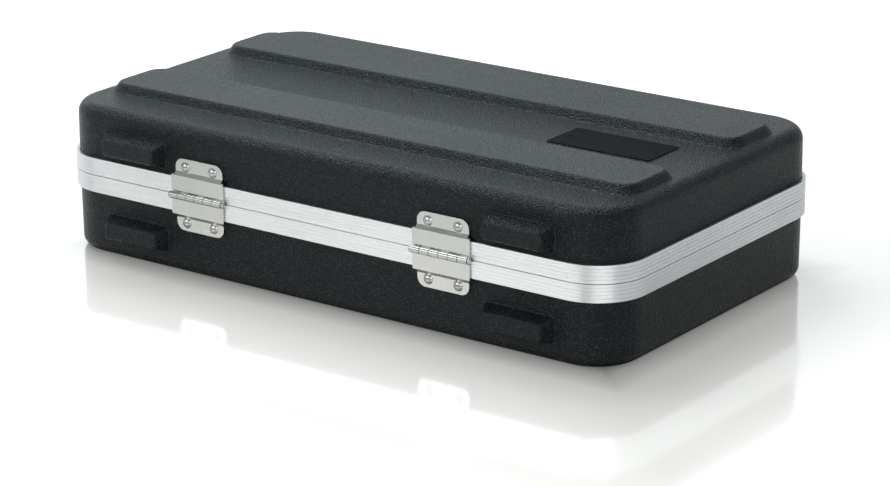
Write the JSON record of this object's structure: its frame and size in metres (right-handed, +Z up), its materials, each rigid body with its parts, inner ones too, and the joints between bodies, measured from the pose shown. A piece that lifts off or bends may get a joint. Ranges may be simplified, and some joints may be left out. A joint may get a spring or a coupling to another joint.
{
  "type": "microphone case",
  "caption": "Hard moulded carrying case for microphones: ribbed lid on strap hinges, aluminium edge valances, lockable hasps, swinging handle and cut foam inside.",
  "frame": {"origin": "middle of the base's flat underside, on the floor", "axes": "+X along the long side, +Z up through the closed lid, -Y towards the handle and locks, +Y towards the strap hinges"},
  "size_m": [0.51, 0.3128, 0.1227],
  "materials": {
    "shell": "pebble-grain moulded",
    "aluminium": "satin extruded",
    "nickel": "bright nickel plate",
    "steel_pin": "nickel plate",
    "zinc": "nickel-plated casting",
    "grip": "fine grain moulded",
    "foam": "open-cell foam",
    "plate": "dark anodised, bare"
  },
  "bodies": {
    "base": {"base_shell": "shell", "base_valance": "aluminium", "foam_floor": "foam", "foam_tray": "foam", "hinge_left_base_leaf": "nickel", "hinge_right_base_leaf": "nickel", "hinge_left_pin": "steel_pin", "hinge_right_pin": "steel_pin", "hinge_base_rivets": "nickel", "lock_left_body": "zinc", "lock_right_body": "zinc", "lock_body_rivets": "nickel", "handle_left_bracket": "nickel", "handle_right_bracket": "nickel", "handle_left_pin": "steel_pin", "handle_right_pin": "steel_pin", "handle_rivets": "nickel"},
    "lid": {"lid_shell": "shell", "lid_valance": "aluminium", "lid_foam": "foam", "hinge_left_lid_leaf": "nickel", "hinge_right_lid_leaf": "nickel", "hinge_lid_rivets": "nickel", "lock_left_lid_plate": "nickel", "lock_right_lid_plate": "nickel", "lock_left_hasp_pin": "steel_pin", "lock_right_hasp_pin": "steel_pin", "lock_lid_rivets": "nickel", "name_plate": "plate", "name_plate_rivets": "nickel"},
    "handle": {"handle_grip": "grip"},
    "left_hasp": {"lock_left_hasp": "nickel"},
    "left_bolt": {"lock_left_bolt": "zinc"},
    "left_cylinder": {"lock_left_cylinder": "zinc"},
    "right_hasp": {"lock_right_hasp": "nickel"},
    "right_bolt": {"lock_right_bolt": "zinc"},
    "right_cylinder": {"lock_right_cylinder": "zinc"}
  },
  "joints": [
    {"name": "lid_hinge", "type": "hinge", "parent": "base", "child": "lid", "pos_m": [0, 0.1469, 0.06325], "axis": [-1, 0, 0], "range_deg": [0, 165]},
    {"name": "handle_swing", "type": "hinge", "parent": "base", "child": "handle", "pos_m": [0, -0.1509, 0.04275], "axis": [-1, 0, 0], "range_deg": [0, 150]},
    {"name": "left_hasp_swing", "type": "hinge", "parent": "lid", "child": "left_hasp", "pos_m": [-0.152, -0.1497, 0.08175], "axis": [-1, 0, 0], "range_deg": [0, 150]},
    {"name": "left_bolt_slide", "type": "slide", "parent": "base", "child": "left_bolt", "axis": [-1, 0, 0], "range_m": [0, 0.006]},
    {"name": "left_key_turn", "type": "hinge", "parent": "base", "child": "left_cylinder", "pos_m": [-0.1705, -0.1504, 0.03525], "axis": [0, 1, 0], "range_deg": [0, 90]},
    {"name": "right_hasp_swing", "type": "hinge", "parent": "lid", "child": "right_hasp", "pos_m": [0.152, -0.1497, 0.08175], "axis": [-1, 0, 0], "range_deg": [0, 150]},
    {"name": "right_bolt_slide", "type": "slide", "parent": "base", "child": "right_bolt", "axis": [-1, 0, 0], "range_m": [0, 0.006]},
    {"name": "right_key_turn", "type": "hinge", "parent": "base", "child": "right_cylinder", "pos_m": [0.1335, -0.1504, 0.03525], "axis": [0, 1, 0], "range_deg": [0, 90]}
  ]
}
